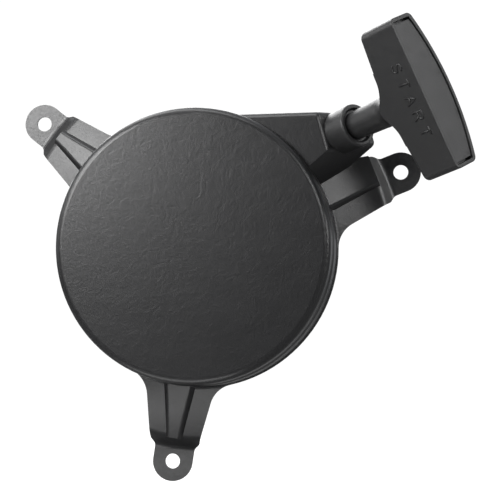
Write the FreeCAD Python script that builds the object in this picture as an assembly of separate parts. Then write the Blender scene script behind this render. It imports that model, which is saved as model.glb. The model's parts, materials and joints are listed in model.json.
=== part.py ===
import FreeCAD, Part
import math
import os

from FreeCAD import Vector

# Recoil starter with a pressed-steel housing, a rope reel and a T handle.
# It is modelled lying on its mounting face: X right, Y up, Z out of the engine, millimetres.
# Just before export it is stood upright, so that the drum's front looks towards -Y
# and the origin is the centre of the bolt circle on the mounting face.

# ---- driving dimensions -------------------------------------------------------------
BOLT_CIRCLE_R = 100.0        # three M6 bolts
BOLT_HOLE_R = 3.5
LEG_ANGLES = (21.4, 141.4, 261.4)

SHEET = 1.2                  # thickness of the pressed steel
FRONT_Z = 42.0               # front face of the drum
DRUM_R = 63.1                # drum wall beside the front face
STEP_R = 63.8                # drum wall below the step
STEP_Z = 30.5
BRIM_R = 64.6                # outer edge of the base ring
BRIM_Z = 13.9
PAD_TOP_Z = 1.6
PAD_R = 9.4

REEL_R = 59.0                # outer radius of the rope reel
REEL_BACK_Z = 20.0           # back face of the reel's web
GROOVE_R = 38.0              # bottom of the rope groove
GROOVE_LOW_Z = 27.5
GROOVE_HIGH_Z = 33.5
FLANGE = 1.6
SPRING_POCKET_R = 35.8
REEL_FRONT_Z = 39.2
BOSS_R = 29.0
BOSS_Z = 12.0                # back face of the pawl boss

ROPE_R = 2.25
ROPE_Z = 0.5 * (GROOVE_LOW_Z + GROOVE_HIGH_Z)
ROPE_GAP = 0.05              # air between two layers of rope
ROPE_HALF_TURNS = 6

SHAFT_R = 7.0                # post that carries the reel
SHOULDER_R = 5.0             # post that carries the friction plate
THREAD_R = 3.0               # M6
RUNNING_GAP = 0.05

# The rope leaves the housing along this direction: 15.3 degrees above +X, turned 42.8 degrees outwards.
PULL_RISE = math.radians(15.3)
PULL_TILT = math.radians(42.8)
PULL = Vector(math.cos(PULL_TILT) * math.cos(PULL_RISE),
              math.cos(PULL_TILT) * math.sin(PULL_RISE),
              math.sin(PULL_TILT))
GUIDE_MOUTH = Vector(75.1, 54.3, 35.0)   # centre of the guide's outer rim
GUIDE_LENGTH = 11.9                      # from the end wall to the rim
GUIDE_R = 10.0
GUIDE_SEAT_DEPTH = 1.6
NECK_R = 6.4

Z_AXIS = Vector(0, 0, 1)
ORIGIN = Vector(0, 0, 0)
BIG = 400.0


# ---- helpers ------------------------------------------------------------------------
def corner_arc(before, corner, after, radius):
    """Tangent points and middle point of the arc that rounds one corner."""
    to_before = (before - corner).normalize()
    to_after = (after - corner).normalize()
    half = 0.5 * to_before.getAngle(to_after)
    reach = radius / math.tan(half)
    bisector = (to_before + to_after).normalize()
    middle = corner + bisector * (radius / math.sin(half) - radius)
    return corner + to_before * reach, middle, corner + to_after * reach


def rounded_wire(corners, closed=True):
    """Wire through corners given as (point, radius); radius 0 keeps a sharp corner."""
    count = len(corners)
    edges = []
    ends = []
    for i, (point, radius) in enumerate(corners):
        inner = closed or 0 < i < count - 1
        if radius and inner:
            before = corners[i - 1][0]
            after = corners[(i + 1) % count][0]
            start, middle, end = corner_arc(before, point, after, radius)
            edges.append((Part.Arc(start, middle, end).toShape(), i))
            ends.append((start, end))
        else:
            ends.append((point, point))
    arcs = {i: edge for edge, i in edges}
    ordered = []
    for i in range(count):
        if i in arcs:
            ordered.append(arcs[i])
        if i < count - 1 or closed:
            a = ends[i][1]
            b = ends[(i + 1) % count][0]
            if a.distanceToPoint(b) > 1e-6:
                ordered.append(Part.LineSegment(a, b).toShape())
    return Part.Wire(ordered)


def face_xy(corners, z=0.0):
    """Flat face in a plane of constant Z from (x, y) or (x, y, radius)."""
    points = [(Vector(c[0], c[1], z), c[2] if len(c) > 2 else 0) for c in corners]
    return Part.Face(rounded_wire(points))


def turned(corners):
    """Solid of revolution about Z from its half section (r, z) or (r, z, radius)."""
    points = [(Vector(c[0], 0, c[1]), c[2] if len(c) > 2 else 0) for c in corners]
    return Part.Face(rounded_wire(points)).revolve(ORIGIN, Z_AXIS, 360)


def disc(radius, low, high, x=0.0, y=0.0):
    """Upright cylinder between two heights."""
    return Part.makeCylinder(radius, high - low, Vector(x, y, low))


def ring(outer, inner, low, high, x=0.0, y=0.0):
    return disc(outer, low, high, x, y).cut(disc(inner, low - 1, high + 1, x, y))


def spun(shape, degrees):
    """Copy turned about the shaft axis."""
    copy = shape.copy()
    copy.rotate(ORIGIN, Z_AXIS, degrees)
    return copy


def moved(shape, offset):
    copy = shape.copy()
    copy.translate(offset)
    return copy


def fused(shapes):
    """Union made one shape at a time."""
    whole = shapes[0]
    for shape in shapes[1:]:
        whole = whole.fuse(shape)
    return whole.removeSplitter()


def trimmed(shape, normal, offset):
    """Cut away everything on the far side of the plane normal . p = offset."""
    block = Part.makeBox(BIG, BIG, BIG, Vector(-BIG / 2, -BIG / 2, 0))
    unit = Vector(normal).normalize()
    block.Placement = FreeCAD.Placement(unit * (offset / normal.Length),
                                        FreeCAD.Rotation(Z_AXIS, unit))
    return shape.cut(block)


def along(shape, base, direction):
    """Copy of a shape built on +Z, set on another base point and direction."""
    copy = shape.copy()
    copy.Placement = FreeCAD.Placement(base, FreeCAD.Rotation(Z_AXIS, direction)).multiply(
        copy.Placement)
    return copy


def softened(shape, radius, chosen):
    """Round the edges that the test picks."""
    edges = [edge for edge in shape.Edges if chosen(edge)]
    return shape.makeFillet(radius, edges)


# ---- housing shell ------------------------------------------------------------------
def housing_section(drop, inset):
    """Half section under the sheet's outer skin, lowered and drawn in for its inner skin."""
    return [
        (0, -30),
        (0, FRONT_Z - drop),
        (DRUM_R - inset, FRONT_Z - drop, 3.4 - 0.8 * inset),
        (DRUM_R - inset, STEP_Z - 0.5 * inset, 0.8),
        (STEP_R - inset, STEP_Z - 1.9 - 0.5 * inset, 0.8),
        (STEP_R - inset, BRIM_Z + 0.9 - drop, 1.2),
        (BRIM_R + 0.6, BRIM_Z - drop, 1.5),
        (88.3, 7.2 - drop, 5.0),
        (93.2, PAD_TOP_Z - drop, 3.0),
        (120, PAD_TOP_Z - drop),
        (120, -30),
    ]


def leg_plan(angle):
    """Outline of one leg from under the drum to its rounded pad, extruded upwards."""
    outline = face_xy([
        (40, -20.4),
        (90.5, -11.6, 2.5),
        (93.0, -PAD_R, 3.0),
        (BOLT_CIRCLE_R, -PAD_R),
        (BOLT_CIRCLE_R, PAD_R),
        (93.0, PAD_R, 3.0),
        (90.5, 11.6, 2.5),
        (40, 20.4),
    ], -30)
    prism = outline.extrude(Vector(0, 0, 100))
    prism = prism.fuse(disc(PAD_R, -30, 70, BOLT_CIRCLE_R, 0)).removeSplitter()
    return spun(prism, angle)


def plan_prism():
    """Drum and legs seen from above, with wide concave fillets where each leg leaves the drum."""
    whole = fused([disc(BRIM_R, -30, 70)] + [leg_plan(a) for a in LEG_ANGLES])

    def root_corner(edge):
        middle = edge.CenterOfMass
        upright = edge.BoundBox.ZLength > 50
        return upright and abs(math.hypot(middle.x, middle.y) - BRIM_R) < 0.5

    return softened(whole, 13.0, root_corner)


def rib(angle, root_sides, tip_sides, drop):
    """Raised rib on a leg: a drafted bar that narrows and sinks towards the pad."""
    sections = []
    for reach, low, high, top, flank in (
            (STEP_R - 1.0 + drop, root_sides[0], root_sides[1], 17.2, 2.6),
            (88.8 - drop, tip_sides[0], tip_sides[1], 9.3, 1.9)):
        foot = top - 8.0
        wide = flank * 8.0 / 3.4
        points = [
            Vector(reach, low - wide, foot),
            Vector(reach, low, top),
            Vector(reach, high, top),
            Vector(reach, high + wide, foot),
        ]
        sections.append(Part.makePolygon(points + points[:1]))
    bar = Part.makeLoft(sections, True, True)

    def ridge(edge):
        return edge.BoundBox.XLength > 15 and edge.CenterOfMass.z > 11

    bar = softened(bar, 1.6, ridge)
    return moved(spun(bar, angle), Vector(0, 0, -drop))


SNOUT_TOP = Vector(-0.012, 0.998, 0.06)      # outward normal of the tunnel's top wall
SNOUT_TOP_AT = 62.1
SNOUT_LOWER = Vector(0.6, -0.703, 0.382)
SNOUT_LOWER_AT = 19.8
GUIDE_WAIST_R = 6.75                         # where the guide passes through the end wall


def snout(inset, floor):
    """Rope tunnel: a block bounded by its front, top, lower and end walls."""
    block = Part.makeBox(100, 70, FRONT_Z, Vector(0, 0, floor))
    front = 35.0
    block = trimmed(block, Vector(0, 0, 1), front - inset)
    block = trimmed(block, SNOUT_TOP, SNOUT_TOP_AT - inset)
    block = trimmed(block, SNOUT_LOWER, SNOUT_LOWER_AT - inset)
    block = trimmed(block, PULL, GUIDE_MOUTH.dot(PULL) - GUIDE_LENGTH - inset)
    radius = 3.0 - inset
    limit = 20.0

    def outer_corner(edge):
        middle = edge.CenterOfMass
        inside = math.hypot(middle.x, middle.y) < 50
        lowest = edge.BoundBox.ZMax < floor + 0.1
        return not inside and not lowest and middle.x > limit

    return softened(block, radius, outer_corner)


RIB_SIDES = {
    21.4: ((-4.6, 9.5), (-1.6, 15.5)),
    141.4: ((-5.6, 5.6), (-2.4, 2.4)),
    261.4: ((-5.6, 5.6), (-2.4, 2.4)),
}


def housing_shell():
    plan = plan_prism()
    lowest = BRIM_Z - SHEET - 0.2
    outer = turned(housing_section(0, 0)).common(plan)
    outer = trimmed(outer, Vector(0, 0, -1), 0)
    ribs = [rib(a, *RIB_SIDES[a], 0).common(plan) for a in LEG_ANGLES]
    outer = fused([outer, snout(0, lowest)] + ribs)
    inner = turned(housing_section(1.3, SHEET))
    hollow_ribs = [rib(a, *RIB_SIDES[a], 1.3) for a in LEG_ANGLES]
    shell = outer.cut(fused([inner] + hollow_ribs))
    shell = shell.cut(snout(SHEET, lowest - 5))
    for angle in LEG_ANGLES:
        hole = disc(BOLT_HOLE_R, -5, 10, BOLT_CIRCLE_R, 0)
        shell = shell.cut(spun(hole, angle))
    guide_hole = along(disc(GUIDE_WAIST_R + 0.05, -4, 4), guide_base(), PULL)
    shell = shell.cut(guide_hole)
    return max(shell.Solids, key=lambda solid: solid.Volume)


# ---- rope guide ---------------------------------------------------------------------
def guide_base():
    return GUIDE_MOUTH - PULL * GUIDE_LENGTH


def rope_guide():
    """Collar in the tunnel's end wall: outer sleeve, waist through the wall, inner flange."""
    length = GUIDE_LENGTH
    seat = length - GUIDE_SEAT_DEPTH
    sleeve = turned([
        (3.6, -1.6),
        (GUIDE_WAIST_R, -1.6),
        (GUIDE_WAIST_R, 0),
        (GUIDE_R, 0, 0.4),
        (GUIDE_R, length, 0.9),
        (8.1, length, 0.5),
        (7.4, seat, 0.4),
        (3.6, seat, 1.0),
    ])
    flange = along(turned([
        (3.6, -5.2, 1.0),
        (8.8, -5.2, 0.6),
        (8.8, -SHEET, 0.3),
        (3.6, -SHEET),
    ]), guide_base(), PULL)
    flange = trimmed(flange, SNOUT_TOP, SNOUT_TOP_AT - SHEET - 0.05)
    flange = trimmed(flange, SNOUT_LOWER, SNOUT_LOWER_AT - SHEET - 0.05)
    collar = along(sleeve, guide_base(), PULL).fuse(flange).removeSplitter()
    return collar.cut(swept_rope(lead_path(), ROPE_R + 0.6))


# ---- rope ---------------------------------------------------------------------------
ROPE_STEP = ROPE_R + ROPE_GAP                # half the growth of one turn
COIL_INNER_R = GROOVE_R + ROPE_GAP + ROPE_R + 0.5 * ROPE_STEP
COIL_OUTER_R = COIL_INNER_R + ROPE_STEP * (ROPE_HALF_TURNS - 1)
LEAD_LEVEL = 30.0                            # level run before the rope dips towards the guide
LEAD_DIP_R = 40.0
GUIDE_ENTRY = 14.0                           # from the guide's rim back to the rope's bend
ROPE_BEND_R = 8.0                            # where the rope turns into the guide
KNOT_BEND_R = 7.0                            # where the rope turns back through the reel's web
ROPE_HANDLE_GAP = 0.3


def guide_entry():
    """Point on the guide's axis where the rope turns into the guide."""
    return GUIDE_MOUTH - PULL * GUIDE_ENTRY


def leave_angle():
    """Direction from the shaft to the point where the rope leaves the coil."""
    entry = guide_entry()
    distance = math.hypot(entry.x, entry.y)
    reach = COIL_OUTER_R + 0.5 * ROPE_STEP
    return math.atan2(entry.y, entry.x) + math.acos(reach / distance)


def lead_path():
    """From the coil: a level run past the reel's flanges, a dip to the guide, and out along its axis."""
    angle = leave_angle()
    reach = COIL_OUTER_R + 0.5 * ROPE_STEP
    start = Vector(reach * math.cos(angle), reach * math.sin(angle), ROPE_Z)
    dip = start + Vector(math.sin(angle), -math.cos(angle), 0) * LEAD_LEVEL
    end = GUIDE_MOUTH - PULL * (GUIDE_SEAT_DEPTH - 0.2)
    corners = [(start, 0), (dip, LEAD_DIP_R), (guide_entry(), ROPE_BEND_R), (end, 0)]
    return rounded_wire(corners, closed=False)


def swept_rope(path, radius=ROPE_R):
    """Round rope along a path, checked against its section times its length."""
    edge = path.OrderedEdges[0]
    start = edge.valueAt(edge.FirstParameter)
    tangent = edge.tangentAt(edge.FirstParameter)
    section = Part.Wire(Part.makeCircle(radius, start, tangent))
    tube = path.makePipeShell([section], True, False)
    expected = math.pi * radius ** 2 * path.Length
    if abs(tube.Volume - expected) > 0.01 * expected:
        print("rope volume", tube.Volume, "expected", expected)
    return tube


def half_turn(centre_x, radius, start_angle):
    """Half a turn of rope in the groove's plane, counter-clockwise from start_angle."""
    at = Vector(centre_x + radius * math.cos(start_angle), 0, ROPE_Z)
    disc_edge = Part.makeCircle(ROPE_R, at, Vector(0, 1, 0))
    face = Part.Face(Part.Wire(disc_edge))
    return face.revolve(Vector(centre_x, 0, 0), Z_AXIS, 180)


def coil_end():
    """Inner end of the coil and the direction in which the rope runs there, before spinning."""
    side = 1 if ROPE_HALF_TURNS % 2 == 0 else -1
    centre_x = -0.5 * ROPE_STEP * side
    x = centre_x + COIL_INNER_R * side
    return Vector(x, 0, ROPE_Z), Vector(0, side, 0)


def knot_path(extra):
    """Bend from the coil's inner end to the back through the reel, before spinning."""
    start, run = coil_end()
    corner = start + run * KNOT_BEND_R
    back = corner + Vector(0, 0, -KNOT_BEND_R)
    middle = corner + (Vector(0, 0, -1) - run).normalize() * (KNOT_BEND_R * (math.sqrt(2) - 1))
    end = Vector(back.x, back.y, REEL_BACK_Z - extra)
    return Part.Wire([Part.Arc(start, middle, back).toShape(),
                      Part.LineSegment(back, end).toShape()])


def coil_spin():
    return math.degrees(leave_angle())


def rope_coil():
    """Three turns of rope in the reel's groove, and the stub through the web to the knot."""
    turns = []
    for i in range(ROPE_HALF_TURNS):
        side = 1 if i % 2 == 0 else -1
        radius = COIL_OUTER_R - ROPE_STEP * i
        turns.append(half_turn(0.5 * ROPE_STEP * side, radius, 0 if side > 0 else math.pi))
    turns.append(swept_rope(knot_path(-3.2)))
    return spun(turns[0].multiFuse(turns[1:]), coil_spin())


def knot_centre():
    start, run = coil_end()
    return Vector(start.x, start.y + run.y * KNOT_BEND_R, REEL_BACK_Z)


def rope_reel_knot():
    """Knot in its round pocket behind the web, and the rope's cut tail beside it."""
    centre = knot_centre()
    lump = Part.makeSphere(4.6, centre + Vector(0, 0, -1.6))
    lump = trimmed(lump, Vector(0, 0, 1), centre.z + 3.2)
    tail_start = centre + Vector(0.5, -1.5, -3.8)
    corner = tail_start + Vector(0.1, -1.0, 0).normalize() * 8
    end = corner + Vector(-0.27, -0.96, 0).normalize() * 9
    points = [(tail_start, 0), (corner, 16.0), (end, 0)]
    tail = swept_rope(rounded_wire(points, closed=False))
    return spun(fused([lump, tail]), coil_spin())


def rope_lead():
    return swept_rope(lead_path())


# ---- handle -------------------------------------------------------------------------
# Built on +Z = pulling direction from the guide's mouth, X = thickness towards the front, Y = length.
GRIP_HALF_LENGTH = 35.3
GRIP_FRONT = 7.8             # flat front face, from the neck's axis
GRIP_BACK_END = 6.4          # back face at the grip's ends
GRIP_BACK_MIDDLE = 12.0      # back face in its middle
GRIP_OUTER = 49.3            # outer face, from the guide's mouth
GRIP_INNER_END = 29.2        # inner face at the grip's ends
GRIP_INNER_MIDDLE = 26.2
GRIP_ROLL = 12.9             # degrees that the grip is turned about the rope
CAP_RECESS = 3.2
CAP_WALL = 1.7
NECK_END = -1.4              # inside the guide's mouth
KNOT_CAVITY_R = 6.4
KNOT_CAVITY_Z = 34.7


def grip_length_axis():
    """Long axis of the grip before it is rolled, in a plane parallel to the drum's face."""
    return Vector(math.sin(PULL_RISE), -math.cos(PULL_RISE), 0)


def placed_handle(shape):
    """Set a shape built in the grip's own axes into the guide's mouth."""
    length_axis = grip_length_axis()
    front = PULL.cross(length_axis).normalize()
    if front.z < 0:
        front = front * -1
        length_axis = length_axis * -1
    turn = FreeCAD.Rotation(front, PULL.cross(front), PULL, "ZXY")
    turn = FreeCAD.Rotation(PULL, GRIP_ROLL).multiply(turn)
    copy = shape.copy()
    copy.Placement = FreeCAD.Placement(GUIDE_MOUTH, turn).multiply(copy.Placement)
    return copy


def grip_plan(inset, low, high):
    """Outline seen from the outer end: straight in front, bowed at the back."""
    half = GRIP_HALF_LENGTH - inset
    front = GRIP_FRONT - inset
    back_end = -GRIP_BACK_END + inset
    back_middle = -GRIP_BACK_MIDDLE + inset
    edges = [
        Part.LineSegment(Vector(front, -half, low), Vector(front, half, low)).toShape(),
        Part.LineSegment(Vector(front, half, low), Vector(back_end, half, low)).toShape(),
        Part.Arc(Vector(back_end, half, low), Vector(back_middle, 0, low),
                 Vector(back_end, -half, low)).toShape(),
        Part.LineSegment(Vector(back_end, -half, low), Vector(front, -half, low)).toShape(),
    ]
    return Part.Face(Part.Wire(edges)).extrude(Vector(0, 0, high - low))


def neck_flare():
    """Concave flare from the neck into the grip, as thick as the grip."""
    root = GRIP_INNER_MIDDLE
    flare = turned([
        (0, root - 9.0),
        (7.0, root - 9.0),
        (7.0, root + 0.6, 9.0),
        (19.0, root + 1.6),
        (19.0, root + 3.0),
        (0, root + 3.0),
    ])
    slab = Part.makeBox(GRIP_FRONT + 8.4, 60, 40, Vector(-8.4, -30, root - 20))
    return flare.common(slab)


def handle_grip():
    bar = grip_plan(0, GRIP_INNER_MIDDLE - 4, GRIP_OUTER)
    side = [
        (-60, GRIP_INNER_END + 3.4),
        (-GRIP_HALF_LENGTH, GRIP_INNER_END),
        (-9.0, GRIP_INNER_MIDDLE),
        (9.0, GRIP_INNER_MIDDLE),
        (GRIP_HALF_LENGTH, GRIP_INNER_END),
        (60, GRIP_INNER_END + 3.4),
        (60, -20),
        (-60, -20),
    ]
    below = Part.Face(Part.makePolygon([Vector(-40, y, z) for y, z in side + side[:1]]))
    bar = bar.cut(below.extrude(Vector(80, 0, 0)))
    corners = [edge for edge in bar.Edges
               if abs(edge.CenterOfMass.y) > GRIP_HALF_LENGTH - 0.5
               and edge.BoundBox.ZLength > 10]
    bar = bar.makeFillet(3.0, corners)
    inner_edges = [edge for edge in bar.Edges
                   if edge.BoundBox.ZMax < GRIP_INNER_END + 0.6 and edge.BoundBox.ZLength < 4
                   and not (abs(abs(edge.CenterOfMass.y) - 9.0) < 0.1)]
    bar = bar.makeFillet(1.8, inner_edges)
    bar = softened(bar, 0.5, lambda edge: edge.BoundBox.ZMin > GRIP_OUTER - 0.01)
    neck = Part.makeCone(NECK_R, 7.3, GRIP_INNER_MIDDLE + 4 - NECK_END, Vector(0, 0, NECK_END))
    body = fused([bar, neck, neck_flare()])

    body = body.cut(grip_plan(CAP_WALL, GRIP_OUTER - CAP_RECESS, GRIP_OUTER + 5))
    body = body.cut(disc(KNOT_CAVITY_R - 0.4, KNOT_CAVITY_Z, GRIP_OUTER + 1))
    body = body.cut(disc(ROPE_R + 0.3, NECK_END - 5, KNOT_CAVITY_Z + 1))
    return placed_handle(body)


def handle_cap():
    """Cover pressed into the recess of the outer face, a little shorter than the recess."""
    cap = grip_plan(CAP_WALL + 0.25, GRIP_OUTER - CAP_RECESS, GRIP_OUTER - 0.7)
    short = 2 * (GRIP_HALF_LENGTH - CAP_WALL - 1.2)
    cap = cap.common(Part.makeBox(40, short, 20, Vector(-20, -short / 2, GRIP_OUTER - 10)))
    return placed_handle(cap)


def handle_washer():
    return placed_handle(ring(5.6, ROPE_R + 0.2, KNOT_CAVITY_Z, KNOT_CAVITY_Z + 1.2))


def handle_rope():
    low = -(GUIDE_SEAT_DEPTH - 0.2) + ROPE_HANDLE_GAP
    return placed_handle(disc(ROPE_R, low, KNOT_CAVITY_Z + 3.0))


def handle_knot():
    """Knot above the washer, inside the grip."""
    knot = Part.makeSphere(4.6, Vector(0, 0, KNOT_CAVITY_Z + 5.2))
    knot = trimmed(knot, Vector(0, 0, -1), -(KNOT_CAVITY_Z + 1.2))
    knot = knot.cut(disc(ROPE_R, 0, KNOT_CAVITY_Z + 3.0))
    return placed_handle(knot)


# ---- shaft and its fasteners --------------------------------------------------------
POST_LOW_Z = 21.5
SHOULDER_LOW_Z = 4.6
SHAFT_END_Z = -3.0
PLATE_LOW_Z = 6.2
PLATE = 1.2
BELL_Z = 4.4
WASHER = 1.2
NUT_HEIGHT = 5.0
NUT_FLATS = 10.0


def starter_shaft():
    foot_z = FRONT_Z - 1.3
    return turned([
        (0, SHAFT_END_Z),
        (THREAD_R - 0.7, SHAFT_END_Z),
        (THREAD_R, SHAFT_END_Z + 0.7),
        (THREAD_R, SHOULDER_LOW_Z),
        (SHOULDER_R, SHOULDER_LOW_Z),
        (SHOULDER_R, POST_LOW_Z),
        (SHAFT_R, POST_LOW_Z),
        (SHAFT_R, foot_z - 1.2),
        (15.0, foot_z - 1.2),
        (15.0, foot_z),
        (0, foot_z),
    ])


def spring_hub():
    """Sleeve welded round the post, with a slot for the spring's inner hook."""
    hub = ring(10.5, SHAFT_R, 28.6, 39.5)
    slot = Part.makeBox(3.2, 1.4, 12, Vector(8.2, -0.7, 28))
    return hub.cut(slot)


def thrust_washer():
    return ring(9.6, SHOULDER_R + 0.05, POST_LOW_Z - 1.2, POST_LOW_Z)


def retaining_washer():
    return ring(10.3, THREAD_R + 0.2, BELL_Z - WASHER, BELL_Z)


def retaining_nut():
    """M6 hexagon nut with chamfered corners."""
    corner_r = NUT_FLATS / math.sqrt(3)
    low = BELL_Z - WASHER - NUT_HEIGHT
    points = [Vector(corner_r * math.cos(math.radians(60 * k)),
                     corner_r * math.sin(math.radians(60 * k)), low) for k in range(7)]
    nut = Part.Face(Part.makePolygon(points)).extrude(Vector(0, 0, NUT_HEIGHT))
    bevel = turned([
        (0, low),
        (NUT_FLATS / 2 - 0.1, low),
        (corner_r + 0.6, low + 0.9),
        (corner_r + 0.6, low + NUT_HEIGHT),
        (0, low + NUT_HEIGHT),
    ])
    return nut.common(bevel).cut(disc(THREAD_R, low - 1, low + NUT_HEIGHT + 1))


def brake_spring():
    """Coil spring that presses the friction plate against the washer."""
    low = PLATE_LOW_Z + PLATE + 1.0
    high = POST_LOW_Z - 1.2 - 1.0
    turns = 4.0
    wire_r = 0.75
    coil_r = 7.2
    helix = Part.makeHelix((high - low) / turns, high - low, coil_r)
    section = Part.Wire(Part.makeCircle(wire_r, Vector(coil_r, 0, 0), Vector(0, 1, 0)))
    coil = Part.Wire(helix.Edges).makePipeShell([section], True, True)
    coil = moved(coil, Vector(0, 0, low))
    return coil


# ---- reel ---------------------------------------------------------------------------
BUSHING_R = 9.0
RIM_IN_R = 54.5
WEB_R = 48.0
RIB_COUNT = 12


def rope_way(radius):
    """Space that the rope's stub needs through the web, with its knot's pocket."""
    way = swept_rope(knot_path(2.0), radius)
    pocket = disc(5.2, REEL_BACK_Z - 5, REEL_BACK_Z + 3.5, knot_centre().x, knot_centre().y)
    return spun(way.fuse(pocket), coil_spin())


def reel():
    """Nylon drum: rope groove outside, spring pocket in front, pawl boss behind."""
    low_flange = GROOVE_LOW_Z - FLANGE
    high_flange = GROOVE_HIGH_Z + FLANGE
    body = turned([
        (BUSHING_R, GROOVE_LOW_Z + 0.6),
        (SPRING_POCKET_R, GROOVE_LOW_Z + 0.6, 1.0),
        (SPRING_POCKET_R, REEL_FRONT_Z),
        (GROOVE_R, REEL_FRONT_Z, 0.4),
        (GROOVE_R, high_flange, 0.6),
        (REEL_R, high_flange, 0.6),
        (REEL_R, GROOVE_HIGH_Z, 0.6),
        (GROOVE_R, GROOVE_HIGH_Z, 0.5),
        (GROOVE_R, GROOVE_LOW_Z, 0.5),
        (REEL_R, GROOVE_LOW_Z, 0.6),
        (REEL_R, REEL_BACK_Z, 0.8),
        (RIM_IN_R, REEL_BACK_Z, 0.5),
        (RIM_IN_R, low_flange, 0.8),
        (WEB_R, low_flange, 0.8),
        (WEB_R, REEL_BACK_Z, 0.8),
        (BOSS_R + 0.8, REEL_BACK_Z, 1.6),
        (BOSS_R, BOSS_Z, 0.8),
        (10.2, BOSS_Z),
        (10.2, POST_LOW_Z + 0.3),
        (BUSHING_R, POST_LOW_Z + 0.3),
    ])
    web_rib = Part.makeBox(RIM_IN_R - WEB_R + 2, 1.6, low_flange - REEL_BACK_Z - 0.2,
                           Vector(WEB_R - 1, -0.8, REEL_BACK_Z + 0.6))
    body = fused([body] + [spun(web_rib, 360 / RIB_COUNT * (k + 0.5)) for k in range(RIB_COUNT)])
    body = body.cut(rope_way(ROPE_R + 0.5))
    notch = Part.makeBox(2.4, 2.2, 12, Vector(SPRING_POCKET_R - 0.6, -1.1, GROOVE_LOW_Z + 0.6))
    body = body.cut(notch)
    for side in range(2):
        x, y = pawl_pivot(side)
        body = body.cut(disc(PAWL_PIN_R, BOSS_Z - 1, BOSS_Z + 6, x, y))
    return body


def reel_bushing():
    return ring(BUSHING_R, SHAFT_R + RUNNING_GAP, POST_LOW_Z + 0.3, GROOVE_LOW_Z + 0.6)


# ---- recoil spring ------------------------------------------------------------------
SPRING_STRIP = 0.5
SPRING_LOW_Z = 28.8
SPRING_WIDTH = 9.6
SPRING_INNER_R = 12.0
SPRING_TURNS = 9


def recoil_spring():
    """Spiral strip of half turns, hooked into the hub's slot and the reel's pocket wall."""
    outer_r = SPRING_POCKET_R - 1.4
    halves = 2 * SPRING_TURNS
    step = (outer_r - SPRING_INNER_R) / halves
    strips = []
    for i in range(halves):
        side = 1 if i % 2 == 0 else -1
        centre = Vector(-0.5 * step * side, 0, SPRING_LOW_Z)
        radius = SPRING_INNER_R + step * (i + 0.5)
        start = 0 if side > 0 else 180
        band = Part.makeCylinder(radius + SPRING_STRIP / 2, SPRING_WIDTH, centre, Z_AXIS, 180)
        core = Part.makeCylinder(radius - SPRING_STRIP / 2, SPRING_WIDTH + 2,
                                 centre - Vector(0, 0, 1), Z_AXIS, 360)
        band.rotate(centre, Z_AXIS, start)
        strips.append(band.cut(core))
    inner_x = SPRING_INNER_R
    hook = Part.makeBox(inner_x - 9.0, SPRING_STRIP, SPRING_WIDTH,
                        Vector(9.0, -SPRING_STRIP / 2, SPRING_LOW_Z))
    outer_x = SPRING_INNER_R + step * halves
    outer_hook = Part.makeBox(SPRING_POCKET_R + 1.4 - outer_x, SPRING_STRIP, SPRING_WIDTH,
                              Vector(outer_x, -SPRING_STRIP / 2, SPRING_LOW_Z))
    return fused(strips + [hook, outer_hook])


# ---- pawls and friction plate -------------------------------------------------------
PAWL_RADIUS = 13.0           # from the shaft to a pawl's pivot
PAWL_ANGLES = (35.0, 215.0)
PAWL_PIN_R = 2.0
PAWL_LOW_Z = 7.8
PAWL_HIGH_Z = 11.7
PEG_REACH = 8.0
PEG_ANGLE = -21.0
TIP_REACH = 16.4
TIP_ANGLE = -76.0
PEG_R = 1.5
PLATE_R = 27.0
PLATE_LAG = -8.0             # the plate's holes trail the pawls' pivots by this angle at rest


def pawl_pivot(side):
    angle = math.radians(PAWL_ANGLES[side])
    return PAWL_RADIUS * math.cos(angle), PAWL_RADIUS * math.sin(angle)


def polar(reach, degrees, z=0.0):
    return Vector(reach * math.cos(math.radians(degrees)), reach * math.sin(math.radians(degrees)), z)


def arm(start, end, start_r, end_r, low, high):
    """Flat bar with round ends of two sizes between two points."""
    run = end - start
    heading = math.atan2(run.y, run.x)
    swing = math.acos((start_r - end_r) / run.Length)
    points = []
    for centre, radius, sign in ((start, start_r, 1), (end, end_r, 1),
                                 (end, end_r, -1), (start, start_r, -1)):
        angle = heading + sign * swing
        points.append(centre + Vector(math.cos(angle), math.sin(angle), 0) * radius)
    flat = [Vector(p.x, p.y, low) for p in points]
    web = Part.Face(Part.makePolygon(flat + flat[:1])).extrude(Vector(0, 0, high - low))
    return fused([web, disc(start_r, low, high, start.x, start.y),
                  disc(end_r, low, high, end.x, end.y)])


def pawl(side):
    """Flat lever on a pivot: a peg for the friction plate's hole, and a tip that swings out."""
    pivot = Vector(PAWL_RADIUS, 0, 0)
    peg = pivot + polar(PEG_REACH, PEG_ANGLE)
    tip = pivot + polar(TIP_REACH, TIP_ANGLE)
    shape = fused([
        arm(pivot, peg, 3.8, 2.6, PAWL_LOW_Z, PAWL_HIGH_Z),
        arm(pivot, tip, 3.8, 2.0, PAWL_LOW_Z, PAWL_HIGH_Z),
        disc(PEG_R, PLATE_LOW_Z + 0.1, PAWL_LOW_Z + 1, peg.x, peg.y),
    ])
    shape = shape.cut(disc(PAWL_PIN_R + RUNNING_GAP, 0, 20, PAWL_RADIUS, 0))
    return spun(shape, PAWL_ANGLES[side])


def pawl_pin(side):
    x, y = pawl_pivot(side)
    return disc(PAWL_PIN_R, PAWL_LOW_Z - 0.1, BOSS_Z + 6, x, y)


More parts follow.
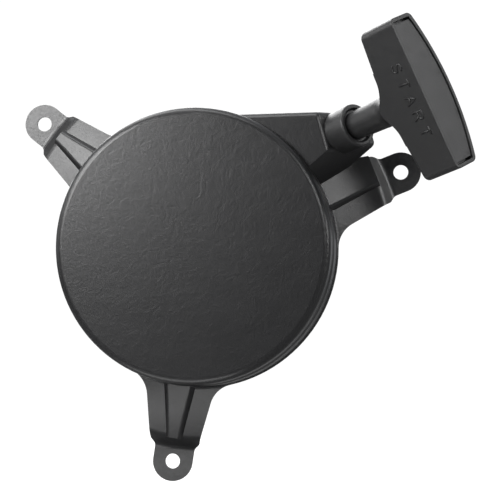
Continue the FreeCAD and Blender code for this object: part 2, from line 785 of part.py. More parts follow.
def friction_plate():
    """Dished steel plate: a bell in its middle, two embossed holes and a notched rim."""
    top = PLATE_LOW_Z + PLATE
    body = turned([
        (SHOULDER_R + 0.06, BELL_Z),
        (12.6, BELL_Z, 1.0),
        (14.2, PLATE_LOW_Z, 0.8),
        (PLATE_R, PLATE_LOW_Z, 1.6),
        (PLATE_R, 11.3),
        (PLATE_R - 1.0, 11.3),
        (PLATE_R - 1.0, top, 0.6),
        (13.4, top, 0.8),
        (12.0, BELL_Z + PLATE, 1.0),
        (SHOULDER_R + 0.06, BELL_Z + PLATE),
    ])
    hole_angles = [angle + PLATE_LAG for angle in PAWL_ANGLES]
    for angle in hole_angles:
        centre = polar(20.9, angle)
        emboss = Part.makeCone(4.2, 5.2, 0.7, Vector(centre.x, centre.y, PLATE_LOW_Z - 0.7))
        body = body.fuse(emboss)
    for angle in hole_angles:
        centre = polar(20.9, angle)
        body = body.cut(disc(2.9, 0, 12, centre.x, centre.y))
    window = Part.makeBox(8, 17, 3.9, Vector(PLATE_R - 5, -8.5, top + 0.02))
    small = Part.makeBox(8, 4.0, 10, Vector(PLATE_R - 1.6, -2.0, PLATE_LOW_Z - 1))
    for angle in PAWL_ANGLES:
        body = body.cut(spun(window, angle - 40))
        body = body.cut(spun(window, angle - 14))
        for offset in (22, 52, 82, 112):
            body = body.cut(spun(small, angle + offset))
    return body.removeSplitter()


# ---- export -------------------------------------------------------------------------
def part_list():
    return {
        "housing_shell": housing_shell(),
        "rope_guide": rope_guide(),
        "starter_shaft": starter_shaft(),
        "spring_hub": spring_hub(),
        "thrust_washer": thrust_washer(),
        "brake_spring": brake_spring(),
        "retaining_washer": retaining_washer(),
        "retaining_nut": retaining_nut(),
        "rope_lead": rope_lead(),
        "reel": reel(),
        "reel_bushing": reel_bushing(),
        "recoil_spring": recoil_spring(),
        "rope_coil": rope_coil(),
        "rope_reel_knot": rope_reel_knot(),
        "pawl_pin_a": pawl_pin(0),
        "pawl_pin_b": pawl_pin(1),
        "pawl_a": pawl(0),
        "pawl_b": pawl(1),
        "friction_plate": friction_plate(),
        "handle_grip": handle_grip(),
        "handle_cap": handle_cap(),
        "handle_washer": handle_washer(),
        "handle_rope": handle_rope(),
        "handle_knot": handle_knot(),
    }


def print_rope():
    """Lengths and radii of the rope, for the report."""
    lead = lead_path().Length
    coil = sum(math.pi * (COIL_OUTER_R - ROPE_STEP * i) for i in range(ROPE_HALF_TURNS))
    stub = knot_path(-3.2).Length
    print(f"rope: radius {ROPE_R}, coil centre lines {COIL_INNER_R:.2f} to {COIL_OUTER_R:.2f}")
    print(f"rope: coil {coil:.1f}, lead {lead:.1f}, stub to the reel's knot {stub:.1f}")


def main():
    os.makedirs("parts", exist_ok=True)
    print_rope()
    for name, shape in part_list().items():
        shape.rotate(ORIGIN, Vector(1, 0, 0), 90)
        shape.exportStep("parts/" + name + ".step")
        box = shape.BoundBox
        print(f"{name:18s} valid {shape.isValid()} solids {len(shape.Solids)} "
              f"volume {shape.Volume:9.1f}  box {box.XLength:6.1f} {box.YLength:6.1f} {box.ZLength:6.1f}")


main()
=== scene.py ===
import json
import math
import random

import bpy
import bmesh
from mathutils import Matrix, Vector


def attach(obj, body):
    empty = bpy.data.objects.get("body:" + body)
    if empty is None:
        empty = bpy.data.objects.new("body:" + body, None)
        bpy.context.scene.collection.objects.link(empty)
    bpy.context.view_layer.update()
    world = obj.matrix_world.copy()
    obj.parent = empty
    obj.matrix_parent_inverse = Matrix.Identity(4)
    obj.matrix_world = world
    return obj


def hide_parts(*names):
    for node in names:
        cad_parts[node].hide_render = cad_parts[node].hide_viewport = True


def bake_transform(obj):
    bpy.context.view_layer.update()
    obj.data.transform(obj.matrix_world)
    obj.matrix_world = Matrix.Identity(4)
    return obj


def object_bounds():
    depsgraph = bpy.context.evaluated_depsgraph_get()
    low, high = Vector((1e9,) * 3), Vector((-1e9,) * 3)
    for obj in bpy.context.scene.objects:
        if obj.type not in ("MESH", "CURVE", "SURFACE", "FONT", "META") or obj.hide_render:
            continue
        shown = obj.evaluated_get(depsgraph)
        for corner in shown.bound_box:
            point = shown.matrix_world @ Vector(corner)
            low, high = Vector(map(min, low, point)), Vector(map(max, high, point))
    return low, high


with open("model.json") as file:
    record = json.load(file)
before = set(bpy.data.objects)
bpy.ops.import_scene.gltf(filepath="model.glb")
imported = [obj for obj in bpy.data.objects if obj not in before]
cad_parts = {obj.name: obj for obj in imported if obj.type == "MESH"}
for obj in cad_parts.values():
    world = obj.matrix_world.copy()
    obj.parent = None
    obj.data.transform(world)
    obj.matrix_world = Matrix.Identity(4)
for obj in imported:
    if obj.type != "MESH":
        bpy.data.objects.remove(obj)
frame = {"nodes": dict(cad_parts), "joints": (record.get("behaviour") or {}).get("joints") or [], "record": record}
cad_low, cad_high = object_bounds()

nodes = frame["nodes"]
joints = {joint["name"]: joint for joint in frame["joints"]}
PULL = Vector(joints["handle_pull"]["axis"]).normalized()

MM = 0.001
CAMERA_AT = Vector((119.5, -800.0, -60.7)) * MM
CAMERA_YAW = math.radians(6.977)
CAMERA_PITCH = math.radians(4.352)
CAMERA_LENS = 122.8          # millimetres
SENSOR_WIDTH = 36.0
FLOOR_DROP = 0.004           # the part is held by its bolts, just above the floor
FLOOR_SIZE = 6.0

GUIDE_MOUTH = Vector((75.1, -35.0, 54.3)) * MM
GRIP_ROLL = math.radians(12.9)
GRIP_FRONT = 7.8 * MM
ROPE_R = 2.25 * MM
BRAID_PITCH = 4.5 * MM       # one crossing of the braid's strands along the rope
BRAID_MIDDLE = 0.6           # height of the braid's strands that lies on the rope's own radius
STRANDS = 4.0                # strands that run each way round the rope
COIL_STRANDS = 66.0          # strands in one turn of the coil
COIL_PITCH = 3.5 * MM
REEL_BACK = -20.0 * MM


# ---- shader helpers -----------------------------------------------------------------
class Skin:
    """A principled material with short ways to add the nodes that vary it."""

    def __init__(self, name, rough, metal=0.0):
        self.material = bpy.data.materials.new(name)
        self.material.use_nodes = True
        self.tree = self.material.node_tree
        self.shader = self.tree.nodes["Principled BSDF"]
        self.shader.inputs["Roughness"].default_value = rough
        self.shader.inputs["Metallic"].default_value = metal
        self.space = self.node("ShaderNodeTexCoord").outputs["Object"]
        self.normal = None

    def node(self, kind, **settings):
        made = self.tree.nodes.new(kind)
        for key, value in settings.items():
            setattr(made, key, value)
        return made

    def link(self, source, target):
        if isinstance(source, (int, float)):
            target.default_value = source
        else:
            self.tree.links.new(source, target)

    def math(self, operation, a, b=0.0):
        made = self.node("ShaderNodeMath", operation=operation)
        self.link(a, made.inputs[0])
        self.link(b, made.inputs[1])
        return made.outputs[0]

    def noise(self, scale, detail=4.0, rough=0.55, stretch=None, distortion=0.0):
        """Noise of the given number of cells to the metre."""
        made = self.node("ShaderNodeTexNoise")
        made.inputs["Scale"].default_value = scale
        made.inputs["Detail"].default_value = detail
        made.inputs["Roughness"].default_value = rough
        made.inputs["Distortion"].default_value = distortion
        self.link(self.stretched(stretch), made.inputs["Vector"])
        return made.outputs["Fac"]

    def stretched(self, stretch):
        if stretch is None:
            return self.space
        made = self.node("ShaderNodeMapping")
        made.inputs["Scale"].default_value = stretch
        self.link(self.space, made.inputs["Vector"])
        return made.outputs[0]

    def cells(self, scale, output="Distance"):
        """Cells of the given number to the metre."""
        made = self.node("ShaderNodeTexVoronoi", feature="F1")
        made.inputs["Scale"].default_value = scale
        self.link(self.space, made.inputs["Vector"])
        return made.outputs[output]

    def ramp(self, source, low, high, a=0.0, b=1.0):
        made = self.node("ShaderNodeMapRange")
        self.link(source, made.inputs["Value"])
        made.inputs["From Min"].default_value = low
        made.inputs["From Max"].default_value = high
        made.inputs["To Min"].default_value = a
        made.inputs["To Max"].default_value = b
        return made.outputs[0]

    def mixed(self, amount, a, b):
        """Colour between a and b, each a colour or a socket."""
        made = self.node("ShaderNodeMix", data_type="RGBA")
        self.link(amount, made.inputs["Factor"])
        for value, name in ((a, "A"), (b, "B")):
            socket = [s for s in made.inputs if s.name == name and s.type == "RGBA"][0]
            if isinstance(value, tuple):
                socket.default_value = (*value, 1)
            else:
                self.link(value, socket)
        return [s for s in made.outputs if s.type == "RGBA"][0]

    def color(self, source):
        self.link(source, self.shader.inputs["Base Color"])

    def rough(self, source):
        self.link(source, self.shader.inputs["Roughness"])

    def bump(self, height, strength, depth):
        """Relief of the given depth in metres, added to what is there."""
        made = self.node("ShaderNodeBump")
        made.inputs["Strength"].default_value = strength
        made.inputs["Distance"].default_value = depth
        self.link(height, made.inputs["Height"])
        if self.normal is not None:
            self.link(self.normal, made.inputs["Normal"])
        self.normal = made.outputs[0]
        self.link(self.normal, self.shader.inputs["Normal"])


def edge_wear_and_highlight(skin, base, edge_colour, amount):
    """Colour that turns to a lighter one on sharp outer edges, broken up by noise: wear from handling, which on
    the housing is also a painted highlight along its rims and leg edges.
    """
    edge = skin.node("ShaderNodeNewGeometry").outputs["Pointiness"]
    sharp = skin.ramp(edge, 0.53, 0.60)
    broken = skin.ramp(skin.noise(420, 6, 0.7), 0.42, 0.62)
    mask = skin.math("MULTIPLY", skin.math("MULTIPLY", sharp, broken), amount)
    return skin.mixed(mask, base, edge_colour)


# ---- materials ----------------------------------------------------------------------
def housing_paint():
    """Semi-gloss black paint: fine orange peel, faint clouding, dust, and lighter sharp edges that are partly wear
    and partly a painted highlight.
    """
    skin = Skin("housing_paint", 0.4)
    cloud = skin.noise(14, 3)
    dust = skin.ramp(skin.noise(900, 5, 0.75), 0.62, 0.80)
    base = skin.mixed(cloud, (0.0050, 0.0050, 0.0056), (0.0085, 0.0085, 0.0092))
    base = skin.mixed(skin.math("MULTIPLY", dust, 0.06), base, (0.08, 0.08, 0.08))
    # Lighter sharp edges: partly paint wear, partly a painted highlight along the disc's rim and the legs' edges.
    skin.color(edge_wear_and_highlight(skin, base, (0.05, 0.05, 0.05), 0.2))
    streak = skin.noise(60, 4, 0.6, stretch=(1.0, 1.0, 3.0))
    skin.rough(skin.ramp(streak, 0.3, 0.7, 0.365, 0.395))
    skin.bump(skin.noise(620, 3, 0.5), 0.30, 0.00012)
    skin.bump(skin.noise(70, 2), 0.05, 0.0004)
    skin.bump(skin.noise(190, 5, 0.62, distortion=1.4), 0.34, 0.0003)
    skin.shader.inputs["Coat Weight"].default_value = 0.15
    skin.shader.inputs["Coat Roughness"].default_value = 0.28
    return skin.material


def moulded_black(name, shade, rough):
    """Satin black moulded plastic with a fine sparked texture and light scuffs."""
    skin = Skin(name, rough)
    low = (shade * 0.8, shade * 0.8, shade * 0.82)
    high = (shade * 1.25, shade * 1.25, shade * 1.28)
    base = skin.mixed(skin.noise(35, 4), low, high)
    scuff = skin.ramp(skin.noise(160, 6, 0.7, stretch=(1, 1, 6)), 0.60, 0.78)
    skin.color(skin.mixed(skin.math("MULTIPLY", scuff, 0.25), base, (0.075, 0.075, 0.078)))
    skin.rough(skin.ramp(skin.noise(210, 5), 0.3, 0.7, rough - 0.06, rough + 0.08))
    skin.bump(skin.noise(2600, 2, 0.5), 0.28, 0.00008)
    skin.bump(scuff, 0.15, 0.00005)
    return skin.material


def bright_zinc():
    """Turned and plated steel: even and bright, with fine turning lines and a few dull specks."""
    skin = Skin("bright_zinc", 0.22, 1.0)
    specks = skin.ramp(skin.noise(900, 5, 0.7), 0.58, 0.74)
    skin.color(skin.mixed(specks, (0.86, 0.86, 0.84), (0.52, 0.52, 0.51)))
    skin.rough(skin.ramp(specks, 0, 1, 0.16, 0.38))
    skin.bump(skin.noise(2400, 2, 0.5, stretch=(0.2, 1, 0.2)), 0.15, 0.00004)
    return skin.material


def plated_steel():
    """Bright zinc plating: small spangled patches, dark mottling and fine scratches."""
    skin = Skin("plated_steel", 0.28, 1.0)
    patches = skin.cells(900, output="Color")
    grey = skin.node("ShaderNodeRGBToBW")
    skin.link(patches, grey.inputs[0])
    mottle = skin.ramp(skin.noise(330, 6, 0.7), 0.42, 0.62)
    base = skin.mixed(mottle, (0.84, 0.84, 0.83), (0.24, 0.24, 0.25))
    base = skin.mixed(skin.math("MULTIPLY", grey.outputs[0], 0.35), base, (0.90, 0.91, 0.92))
    skin.color(base)
    scratch = skin.ramp(skin.noise(500, 5, 0.7, stretch=(1, 1, 14)), 0.58, 0.72)
    skin.rough(skin.ramp(mottle, 0, 1, 0.20, 0.42))
    skin.bump(mottle, 0.25, 0.0001)
    skin.bump(scratch, 0.18, 0.00004)
    return skin.material


def spring_steel():
    """Blued spring strip with rolled lines along it and a film of grease."""
    skin = Skin("spring_steel", 0.3, 1.0)
    tint = skin.noise(45, 4)
    skin.color(skin.mixed(tint, (0.16, 0.18, 0.25), (0.34, 0.32, 0.30)))
    lines = skin.noise(1500, 3, 0.6, stretch=(0.03, 1, 0.03))
    skin.rough(skin.ramp(skin.noise(120, 4), 0.3, 0.7, 0.22, 0.42))
    skin.bump(lines, 0.2, 0.00005)
    return skin.material


def pawl_steel():
    """Hardened stamped steel: dark oxide, brighter on its edges where wear has polished it."""
    skin = Skin("pawl_steel", 0.38, 1.0)
    base = skin.mixed(skin.noise(260, 5), (0.22, 0.22, 0.23), (0.40, 0.39, 0.38))
    skin.color(edge_wear_and_highlight(skin, base, (0.66, 0.66, 0.65), 0.9))
    skin.rough(skin.ramp(skin.noise(700, 5), 0.3, 0.7, 0.28, 0.50))
    skin.bump(skin.noise(1100, 4), 0.3, 0.00006)
    return skin.material


def bronze_bush():
    """Sintered bronze: granular, oily, with darker pores."""
    skin = Skin("bronze_bush", 0.4, 1.0)
    pores = skin.ramp(skin.cells(2600), 0.10, 0.34)
    skin.color(skin.mixed(pores, (0.20, 0.12, 0.06), (0.60, 0.41, 0.21)))
    skin.rough(skin.ramp(skin.noise(400, 4), 0.3, 0.7, 0.32, 0.52))
    skin.bump(pores, 0.35, 0.00008)
    return skin.material


def reel_nylon():
    """Natural nylon, pale green and waxy, with flow clouding and a fine moulded grain."""
    skin = Skin("reel_nylon", 0.45)
    flow = skin.noise(26, 5, 0.6, distortion=1.4)
    base = skin.mixed(flow, (0.60, 0.66, 0.52), (0.70, 0.75, 0.61))
    dirt = skin.ramp(skin.noise(300, 6, 0.7), 0.60, 0.78)
    skin.color(skin.mixed(skin.math("MULTIPLY", dirt, 0.28), base, (0.30, 0.32, 0.25)))
    skin.rough(skin.ramp(skin.noise(90, 5), 0.3, 0.7, 0.36, 0.50))
    skin.bump(skin.noise(1500, 2), 0.15, 0.00006)
    skin.shader.inputs["Subsurface Weight"].default_value = 0.25
    skin.shader.inputs["Subsurface Radius"].default_value = (1.0, 1.0, 0.7)
    skin.shader.inputs["Subsurface Scale"].default_value = 0.0015
    return skin.material


def rope_fibre(name, along, around):
    """Braided white nylon: two crossing families of strands, with painted shade in the grooves between them, and a
    little fuzz.

    along and around give the strand phases from the object's own coordinates.
    """
    skin = Skin(name, 0.85)
    axis = along(skin)
    turn = around(skin)
    one = skin.math("SINE", skin.math("ADD", axis, turn))
    two = skin.math("SINE", skin.math("SUBTRACT", axis, turn))
    weave = skin.math("MAXIMUM", one, two)
    crossing = skin.ramp(weave, -0.2, 1.0)
    fuzz = skin.noise(2600, 6, 0.8)
    # The dark colour between the raised strands is painted shade in the braid's grooves; the same mask also raises
    # the strands in the bump.
    base = skin.mixed(crossing, (0.42, 0.40, 0.35), (0.84, 0.83, 0.78))
    loose = skin.math("MULTIPLY", skin.ramp(fuzz, 0.45, 0.75), 0.3)
    base = skin.mixed(loose, base, (0.70, 0.68, 0.62))
    skin.color(base)
    skin.rough(skin.ramp(fuzz, 0.3, 0.7, 0.72, 0.95))
    skin.bump(crossing, 0.8, 0.00035)
    skin.bump(fuzz, 0.35, 0.00008)
    skin.shader.inputs["Sheen Weight"].default_value = 0.3
    return skin.material


def floor_material():
    """Lit white paper: bright to look at, but it throws little light back on the part."""
    skin = Skin("studio_floor", 0.9)
    tooth = skin.noise(6, 3)
    skin.color(skin.mixed(tooth, (0.16, 0.16, 0.16), (0.19, 0.19, 0.19)))
    skin.bump(skin.noise(700, 3), 0.1, 0.0001)
    skin.shader.inputs["Emission Color"].default_value = (1, 1, 1, 1)
    looked_at = skin.node("ShaderNodeLightPath").outputs["Is Camera Ray"]
    glow = skin.ramp(tooth, 0.3, 0.7, 0.94, 0.98)
    skin.link(skin.math("MULTIPLY", looked_at, glow), skin.shader.inputs["Emission Strength"])
    return skin.material


def straight_rope_material():
    """Strands measured along the pull, so that they stay even when the rope is drawn out."""
    side = PULL.orthogonal().normalized()
    other = PULL.cross(side)

    def measure(skin, direction, origin=Vector((0, 0, 0))):
        made = skin.node("ShaderNodeVectorMath", operation="DOT_PRODUCT")
        shift = skin.node("ShaderNodeVectorMath", operation="SUBTRACT")
        skin.link(skin.space, shift.inputs[0])
        shift.inputs[1].default_value = origin
        skin.link(shift.outputs[0], made.inputs[0])
        made.inputs[1].default_value = direction
        return made.outputs["Value"]

    def along(skin):
        return skin.math("MULTIPLY", measure(skin, PULL), 2 * math.pi / BRAID_PITCH)

    def around(skin):
        across = measure(skin, side, GUIDE_MOUTH)
        up = measure(skin, other, GUIDE_MOUTH)
        angle = skin.math("ARCTAN2", across, up)
        return skin.math("MULTIPLY", angle, STRANDS)

    return rope_fibre("rope_run", along, around)


def wound_rope_material():
    """Strands measured by the angle round the shaft."""
    def parts(skin):
        made = skin.node("ShaderNodeSeparateXYZ")
        skin.link(skin.space, made.inputs[0])
        return made.outputs

    def along(skin):
        x, _, z = parts(skin)
        return skin.math("MULTIPLY", skin.math("ARCTAN2", z, x), COIL_STRANDS)

    def around(skin):
        return skin.math("MULTIPLY", parts(skin)["Y"], 2 * math.pi / COIL_PITCH)

    return rope_fibre("rope_wound", along, around)


def mesh_rope_material():
    """For ropes whose braid is modelled: clean fibre with fuzz only."""
    skin = Skin("rope_braid", 0.85)
    fuzz = skin.noise(3200, 6, 0.8)
    base = skin.mixed(skin.noise(240, 4), (0.74, 0.73, 0.67), (0.88, 0.87, 0.82))
    loose = skin.math("MULTIPLY", skin.ramp(fuzz, 0.5, 0.8), 0.4)
    skin.color(skin.mixed(loose, base, (0.60, 0.58, 0.52)))
    skin.rough(skin.ramp(fuzz, 0.3, 0.7, 0.75, 0.95))
    skin.bump(fuzz, 0.5, 0.0001)
    skin.shader.inputs["Sheen Weight"].default_value = 0.3
    return skin.material


MATERIALS = {
    "housing_paint": housing_paint(),
    "guide_plastic": moulded_black("guide_plastic", 0.020, 0.40),
    "plated_steel": plated_steel(),
    "spring_steel": spring_steel(),
    "rope": wound_rope_material(),
    "reel_nylon": reel_nylon(),
    "bronze_bush": bronze_bush(),
    "pawl_steel": pawl_steel(),
    "handle_plastic": moulded_black("handle_plastic", 0.017, 0.42),
    "cap_plastic": moulded_black("cap_plastic", 0.026, 0.36),
}
BRIGHT = bright_zinc()
TURNED = ("starter_shaft", "retaining_washer", "retaining_nut", "thrust_washer", "pawl_pin_a",
          "pawl_pin_b")
for entry in frame["record"]["subparts"]:
    node = nodes[entry["node"]]
    finish = BRIGHT if entry["node"] in TURNED else MATERIALS[entry["material_slot"]]
    node.data.materials.clear()
    node.data.materials.append(finish)
BRAID = mesh_rope_material()


# ---- pieces -------------------------------------------------------------------------
def placed(name, shape, material):
    """Object from a bmesh, with its material."""
    mesh = bpy.data.meshes.new(name)
    shape.to_mesh(mesh)
    shape.free()
    mesh.materials.append(material)
    for face in mesh.polygons:
        face.use_smooth = True
    made = bpy.data.objects.new(name, mesh)
    bpy.context.scene.collection.objects.link(made)
    return made


def tube(shape, path, radius, sides=12, braid=0.0, closed_ends=True):
    """Add a tube round a list of points to a bmesh; braid is the height of its crossing strands."""
    count = len(path)
    normal = (path[1] - path[0]).orthogonal().normalized()
    rings = []
    travelled = 0.0
    for i, point in enumerate(path):
        ahead = path[min(i + 1, count - 1)] - path[max(i - 1, 0)]
        ahead.normalize()
        normal = (normal - ahead * normal.dot(ahead)).normalized()
        other = ahead.cross(normal)
        if i:
            travelled += (point - path[i - 1]).length
        wave = 2 * math.pi * travelled / BRAID_PITCH
        ring = []
        for k in range(sides):
            turn = 2 * math.pi * k / sides
            weave = max(math.sin(STRANDS * turn + wave), math.sin(STRANDS * turn - wave))
            reach = radius + braid * (weave - BRAID_MIDDLE)
            ring.append(shape.verts.new(
                point + (normal * math.cos(turn) + other * math.sin(turn)) * reach))
        rings.append(ring)
    for low, high in zip(rings, rings[1:]):
        for k in range(sides):
            shape.faces.new((low[k], low[(k + 1) % sides], high[(k + 1) % sides], high[k]))
    if closed_ends:
        shape.faces.new(list(reversed(rings[0])))
        shape.faces.new(rings[-1])


def spline(points, step):
    """Points on a smooth curve through the given ones, about one step apart."""
    result = []
    last = len(points) - 1
    for i in range(last):
        before = points[max(i - 1, 0)]
        a, b = points[i], points[i + 1]
        after = points[min(i + 2, last)]
        parts = max(2, int((b - a).length / step))
        for k in range(parts):
            t = k / parts
            result.append(0.5 * ((2 * a) + (b - before) * t
                                 + (2 * before - 5 * a + 4 * b - after) * t * t
                                 + (3 * a - before - 3 * b + after) * t ** 3))
    result.append(points[-1])
    return result


def grip_axes():
    """Front, length and pulling directions of the grip, in the frame's axes."""
    across = Vector((-PULL.z, 0, PULL.x)).normalized() * -1
    front = PULL.cross(across).normalized()
    if front.y > 0:
        front = -front
    turn = Matrix.Rotation(GRIP_ROLL, 3, PULL)
    front = turn @ front
    return front, PULL.cross(front), PULL


FRONT, LENGTH, OUT = grip_axes()


def on_grip(front, length, out):
    return GUIDE_MOUTH + FRONT * front + LENGTH * length + OUT * out


# Strokes of plain capital letters in a box one unit high; x runs along the line of text.
LETTERS = {
    "S": [[(0.62, 0.84), (0.50, 0.97), (0.32, 1.0), (0.12, 0.95), (0.03, 0.78), (0.12, 0.60),
           (0.34, 0.51), (0.55, 0.42), (0.65, 0.24), (0.55, 0.06), (0.34, 0.0), (0.14, 0.03),
           (0.01, 0.17)]],
    "T": [[(0.0, 1.0), (0.70, 1.0)], [(0.35, 1.0), (0.35, 0.0)]],
    "A": [[(0.0, 0.0), (0.35, 1.0), (0.70, 0.0)], [(0.125, 0.36), (0.575, 0.36)]],
    "R": [[(0.0, 0.0), (0.0, 1.0), (0.42, 1.0), (0.60, 0.93), (0.66, 0.76), (0.60, 0.58),
           (0.42, 0.51), (0.0, 0.51)], [(0.38, 0.51), (0.68, 0.0)]],
}
LETTER_HEIGHT = 5.3 * MM
LETTER_PITCH = 7.45 * MM
LETTER_STROKE = 0.45 * MM
TEXT_START = -16.8 * MM      # along the grip, from the rope's axis
TEXT_BASE = 39.0 * MM        # foot of the letters, from the guide's mouth


def add_lettering():
    """Plain raised letters on the grip's front face, read from its top end down."""
    shape = bmesh.new()
    for index, letter in enumerate("START"):
        origin = TEXT_START + index * LETTER_PITCH
        for stroke in LETTERS[letter]:
            points = []
            for x, y in stroke:
                points.append(on_grip(GRIP_FRONT - 0.05 * MM, origin + x * LETTER_HEIGHT,
                                      TEXT_BASE + y * LETTER_HEIGHT))
            fine = [points[0]]
            for a, b in zip(points, points[1:]):
                fine += [a.lerp(b, 0.5), b]
            tube(shape, fine, LETTER_STROKE, sides=8)
    text = placed("start_lettering", shape, MATERIALS["handle_plastic"])
    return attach(text, "handle")


RUN_START = -9.0 * MM        # inside the guide, from its mouth
RUN_END = 36.5 * MM          # inside the grip
RUN_RINGS = 160


def add_rope_run():
    """Rope from inside the guide into the grip; it is drawn out as the handle is pulled."""
    shape = bmesh.new()
    length = RUN_END - RUN_START
    path = [GUIDE_MOUTH + OUT * (RUN_START + length * i / RUN_RINGS) for i in range(RUN_RINGS + 1)]
    tube(shape, path, ROPE_R + 0.03 * MM, sides=20)
    run = placed("rope_run", shape, straight_rope_material())
    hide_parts("handle_rope")
    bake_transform(run)
    return run


COIL_OUTER_R = 54.1 * MM     # where the rope leaves the coil
ROPE_Y = -30.5 * MM          # middle of the reel's groove
GUIDE_ENTRY = 14.0 * MM      # from the guide's mouth back to the rope's bend
LEAD_LEVEL = 30.0 * MM


def leave_angle():
    """Direction from the shaft, in the drum's plane, to where the rope leaves the coil."""
    entry = GUIDE_MOUTH - PULL * GUIDE_ENTRY
    distance = math.hypot(entry.x, entry.z)
    return math.atan2(entry.z, entry.x) + math.acos(COIL_OUTER_R / distance)


def add_rope_lead():
    """Braided rope from the coil to the guide."""
    angle = leave_angle()
    start = Vector((COIL_OUTER_R * math.cos(angle), ROPE_Y, COIL_OUTER_R * math.sin(angle)))
    run = Vector((math.sin(angle), 0, -math.cos(angle)))
    dip = start + run * LEAD_LEVEL
    entry = GUIDE_MOUTH - PULL * GUIDE_ENTRY
    slope = (entry - dip).normalized()
    points = [start, start + run * 12 * MM, dip - run * 5 * MM, dip + slope * 5 * MM,
              entry - slope * 11 * MM, entry - slope * 4 * MM, entry + PULL * 4 * MM,
              GUIDE_MOUTH - PULL * 2 * MM]
    shape = bmesh.new()
    tube(shape, spline(points, 0.35 * MM), ROPE_R - 0.15 * MM, sides=24, braid=0.22 * MM)
    lead = placed("rope_lead_braid", shape, BRAID)
    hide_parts("rope_lead")
    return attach(lead, "housing")


# The reel's knot: sideways, along and out of the web, from the hole it comes through.
KNOT_LINE = [
    (0, 0, -4), (0.1, 0.2, -0.5), (-0.6, 1.2, 2.2), (1.2, 2.6, 4.4), (3.3, 0.6, 4.2),
    (2.2, -2.6, 3.0), (-1.2, -3.2, 2.2), (-3.5, -0.4, 2.4), (-2.2, 2.6, 3.6), (0.4, 1.6, 5.2),
    (1.0, -1.6, 5.0), (0.7, -5.0, 4.0), (0.6, -9.0, 3.7), (-0.4, -13.5, 3.7), (-1.7, -18.3, 3.9),
]
KNOT_HOLE = (40.3, 7.0)      # before the coil is turned to its place
FIBRES = 26
FIBRE_R = 0.13 * MM
FIBRE_SPREAD = 1.3 * MM      # how far from the rope's axis a fibre starts
FIBRE_LENGTHS = (0.8, 2.6)


def add_reel_knot():
    """Overhand knot behind the reel's web, with its cut tail and loose fibres."""
    angle = leave_angle()
    side = Vector((math.cos(angle), 0, math.sin(angle)))
    along = Vector((-math.sin(angle), 0, math.cos(angle)))
    back = Vector((0, 1, 0))

    def at(x, y, out):
        return (side * (KNOT_HOLE[0] * MM + x * MM) + along * (KNOT_HOLE[1] * MM + y * MM)
                + back * (REEL_BACK + out * MM))

    shape = bmesh.new()
    line = spline([at(*point) for point in KNOT_LINE], 0.3 * MM)
    tube(shape, line, ROPE_R - 0.2 * MM, sides=24, braid=0.24 * MM)
    chance = random.Random(7)
    heading = (line[-1] - line[-8]).normalized()
    for _ in range(FIBRES):
        spread = Vector([chance.uniform(-1, 1) for _ in range(3)])
        root = line[-2] + (spread - heading * spread.dot(heading)) * FIBRE_SPREAD
        length = chance.uniform(*FIBRE_LENGTHS) * MM
        tip = root + heading * length + spread * 0.5 * length
        bend = Vector([chance.uniform(-1, 1) for _ in range(3)]) * 0.2 * MM
        tube(shape, [root, root.lerp(tip, 0.5) + bend, tip], FIBRE_R, sides=5)
    knot = placed("rope_knot_braid", shape, BRAID)
    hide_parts("rope_reel_knot")
    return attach(knot, "reel")


EJECTOR_R = 39.0 * MM
EJECTOR_MARKS = (20, 150, 205, 318)
MARK_R = 1.7 * MM


def circle(centre, radius, first, second, count=40):
    return [centre + (first * math.cos(2 * math.pi * k / count)
                      + second * math.sin(2 * math.pi * k / count)) * radius
            for k in range(count + 1)]


def add_ejector_marks():
    """Small raised witness rings that ejector pins leave on the moulded web."""
    shape = bmesh.new()
    x_axis, z_axis = Vector((1, 0, 0)), Vector((0, 0, 1))
    for degrees in EJECTOR_MARKS:
        turn = math.radians(degrees)
        centre = Vector((EJECTOR_R * math.cos(turn), REEL_BACK, EJECTOR_R * math.sin(turn)))
        tube(shape, circle(centre, MARK_R, x_axis, z_axis), 0.16 * MM, sides=6, closed_ends=False)
    marks = placed("reel_ejector_marks", shape, MATERIALS["reel_nylon"])
    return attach(marks, "reel")


THREAD_TOP = 3.0 * MM        # the shaft's end behind the nut
THREAD_R = 2.95 * MM
THREAD_PITCH = 1.0 * MM
THREAD_STEPS = 36            # to one turn
THREAD_COUNT = 240
THREAD_FADE = 20             # steps over which the thread runs out


def add_thread():
    """Screw thread on the shaft's end."""
    shape = bmesh.new()
    path = []
    for k in range(THREAD_COUNT):
        turn = 2 * math.pi * k / THREAD_STEPS
        reach = THREAD_R * min(1.0, 0.93 + 0.07 * (THREAD_COUNT - 1 - k) / THREAD_FADE)
        depth = THREAD_TOP - 0.75 * MM - THREAD_PITCH * k / THREAD_STEPS
        path.append(Vector((reach * math.cos(turn), depth, reach * math.sin(turn))))
    tube(shape, path, 0.3 * MM, sides=6)
    thread = placed("shaft_thread", shape, BRIGHT)
    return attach(thread, "housing")


add_lettering()
add_rope_run()
add_rope_lead()
add_reel_knot()
add_ejector_marks()
add_thread()


# ---- camera, light and floor --------------------------------------------------------
def add_camera():
    data = bpy.data.cameras.new("camera")
    data.lens = CAMERA_LENS
    data.sensor_width = SENSOR_WIDTH
    data.clip_start = 0.01
    camera = bpy.data.objects.new("camera", data)
    camera.location = CAMERA_AT
    camera.rotation_euler = (math.radians(90) + CAMERA_PITCH, 0, CAMERA_YAW)
    bpy.context.scene.collection.objects.link(camera)
    bpy.context.scene.camera = camera


def add_softbox(name, at, target, size, power):
    data = bpy.data.lights.new(name, "AREA")
    data.shape = "RECTANGLE"
    data.size, data.size_y = size
    data.energy = power
    lamp = bpy.data.objects.new(name, data)
    lamp.location = at
    lamp.rotation_euler = (Vector(target) - Vector(at)).to_track_quat("-Z", "Y").to_euler()
    lamp.visible_camera = False
    bpy.context.scene.collection.objects.link(lamp)


WORLD_TOP = 0.5
WORLD_BACK = 0.45
WORLD_FRONT = 0.012


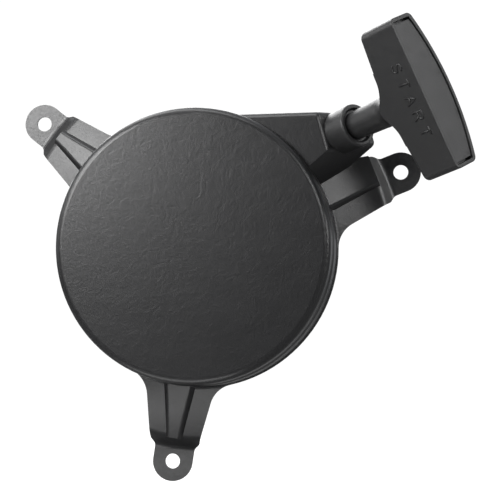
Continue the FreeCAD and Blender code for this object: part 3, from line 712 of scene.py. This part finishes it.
def add_world():
    """White to look at; bright from above and behind, dim from the front, for the part itself."""
    world = bpy.data.worlds.new("studio")
    bpy.context.scene.world = world
    world.use_nodes = True
    tree = world.node_tree
    tree.nodes.clear()

    def node(kind, **settings):
        made = tree.nodes.new(kind)
        for key, value in settings.items():
            setattr(made, key, value)
        return made

    def span(source, low, high, a, b):
        made = node("ShaderNodeMapRange", interpolation_type="SMOOTHSTEP")
        tree.links.new(source, made.inputs["Value"])
        for key, value in (("From Min", low), ("From Max", high), ("To Min", a), ("To Max", b)):
            made.inputs[key].default_value = value
        return made.outputs[0]

    heading = node("ShaderNodeSeparateXYZ")
    tree.links.new(node("ShaderNodeTexCoord").outputs["Generated"], heading.inputs[0])
    top = span(heading.outputs["Z"], 0.55, 0.95, 0.0, WORLD_TOP)
    side = span(heading.outputs["Y"], -0.25, 0.55, WORLD_FRONT, WORLD_BACK)
    total = node("ShaderNodeMath", operation="ADD")
    tree.links.new(top, total.inputs[0])
    tree.links.new(side, total.inputs[1])
    seen = node("ShaderNodeBackground")
    seen.inputs["Color"].default_value = (1, 1, 1, 1)
    seen.inputs["Strength"].default_value = 1.05
    light = node("ShaderNodeBackground")
    light.inputs["Color"].default_value = (0.95, 0.97, 1, 1)
    tree.links.new(total.outputs[0], light.inputs["Strength"])
    path = node("ShaderNodeLightPath")
    mix = node("ShaderNodeMixShader")
    out = node("ShaderNodeOutputWorld")
    tree.links.new(path.outputs["Is Camera Ray"], mix.inputs["Fac"])
    tree.links.new(light.outputs[0], mix.inputs[1])
    tree.links.new(seen.outputs[0], mix.inputs[2])
    tree.links.new(mix.outputs[0], out.inputs["Surface"])


def add_floor():
    mesh = bpy.data.meshes.new("floor")
    shape = bmesh.new()
    bmesh.ops.create_grid(shape, x_segments=1, y_segments=1, size=FLOOR_SIZE)
    shape.to_mesh(mesh)
    shape.free()
    floor = bpy.data.objects.new("floor", mesh)
    floor.location = (0, 0, cad_low.z - FLOOR_DROP)
    bpy.context.scene.collection.objects.link(floor)
    mesh.materials.append(floor_material())


add_camera()
add_world()
add_floor()
# Each softbox: its name, place, what it is aimed at, size and power in watts.
add_softbox("key", (-0.23, -0.46, 0.18), (-0.02, 0, 0.02), (0.16, 0.16), 1.9)
add_softbox("top", (-0.15, -0.12, 0.6), (0, 0, 0), (0.8, 0.2), 2.6)
add_softbox("left", (-0.6, -0.12, 0.25), (0, 0, 0), (0.2, 0.6), 0.9)
add_softbox("right", (0.7, -0.22, 0.3), (0, 0, 0), (0.2, 0.5), 2.6)
add_softbox("leg_left", (-0.24, -0.21, 0.18), (-0.06, 0, 0.05), (0.10, 0.10), 0.5)
add_softbox("leg_right", (0.275, -0.39, 0.17), (0.07, 0, 0.03), (0.10, 0.10), 0.45)
add_softbox("back", (-0.35, 0.9, 0.55), (0, 0, 0), (0.8, 0.8), 9)
add_softbox("leg_low", (-0.02, -0.060, -0.108), (-0.012, -0.01, -0.07), (0.10, 0.03), 0.03)
bpy.context.scene.view_settings.view_transform = "Standard"
